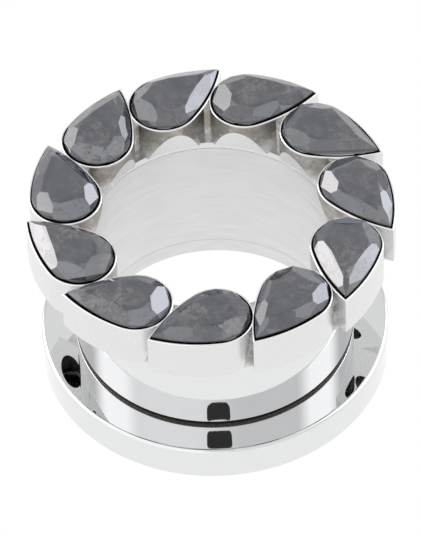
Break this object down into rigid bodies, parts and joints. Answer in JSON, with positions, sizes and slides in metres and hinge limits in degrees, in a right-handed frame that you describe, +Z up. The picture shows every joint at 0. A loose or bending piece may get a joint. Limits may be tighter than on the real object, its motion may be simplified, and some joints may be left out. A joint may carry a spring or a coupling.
{
  "type": "ear tunnel",
  "caption": "Screw-back steel ear tunnel with an open bore, a flat back flange and a front crown of pear-shaped bezel cups that hold dark faceted stones in a swirl.",
  "frame": {"origin": "centre of the bore at the underside of the back flange, which is the middle of the bottom of the part's box", "axes": "+Z up the bore towards the stones; -Y towards the side that the picture was taken from; +X to the picture's right"},
  "size_m": [0.021, 0.0209, 0.0127],
  "materials": {
    "polished_steel": "mirror-polished surgical steel",
    "barrel_steel": "mirror-polished surgical steel outside, finely turned and brushed inside the bore",
    "crown_silver": "bright satin silver-coloured casting with polished rims",
    "dark_stone": "polished, faceted, dark hematite grey with faint cloudy mottling"
  },
  "bodies": {
    "back": {"back_flange": "polished_steel"},
    "front": {"barrel": "barrel_steel", "setting_crown": "crown_silver", "stone_01": "dark_stone", "stone_02": "dark_stone", "stone_03": "dark_stone", "stone_04": "dark_stone", "stone_05": "dark_stone", "stone_06": "dark_stone", "stone_07": "dark_stone", "stone_08": "dark_stone", "stone_09": "dark_stone", "stone_10": "dark_stone", "stone_11": "dark_stone"}
  },
  "joints": [
    {"name": "front_release", "type": "slide", "parent": "back", "child": "front", "axis": [0, 0, 1], "range_m": [0, 0.012]}
  ]
}
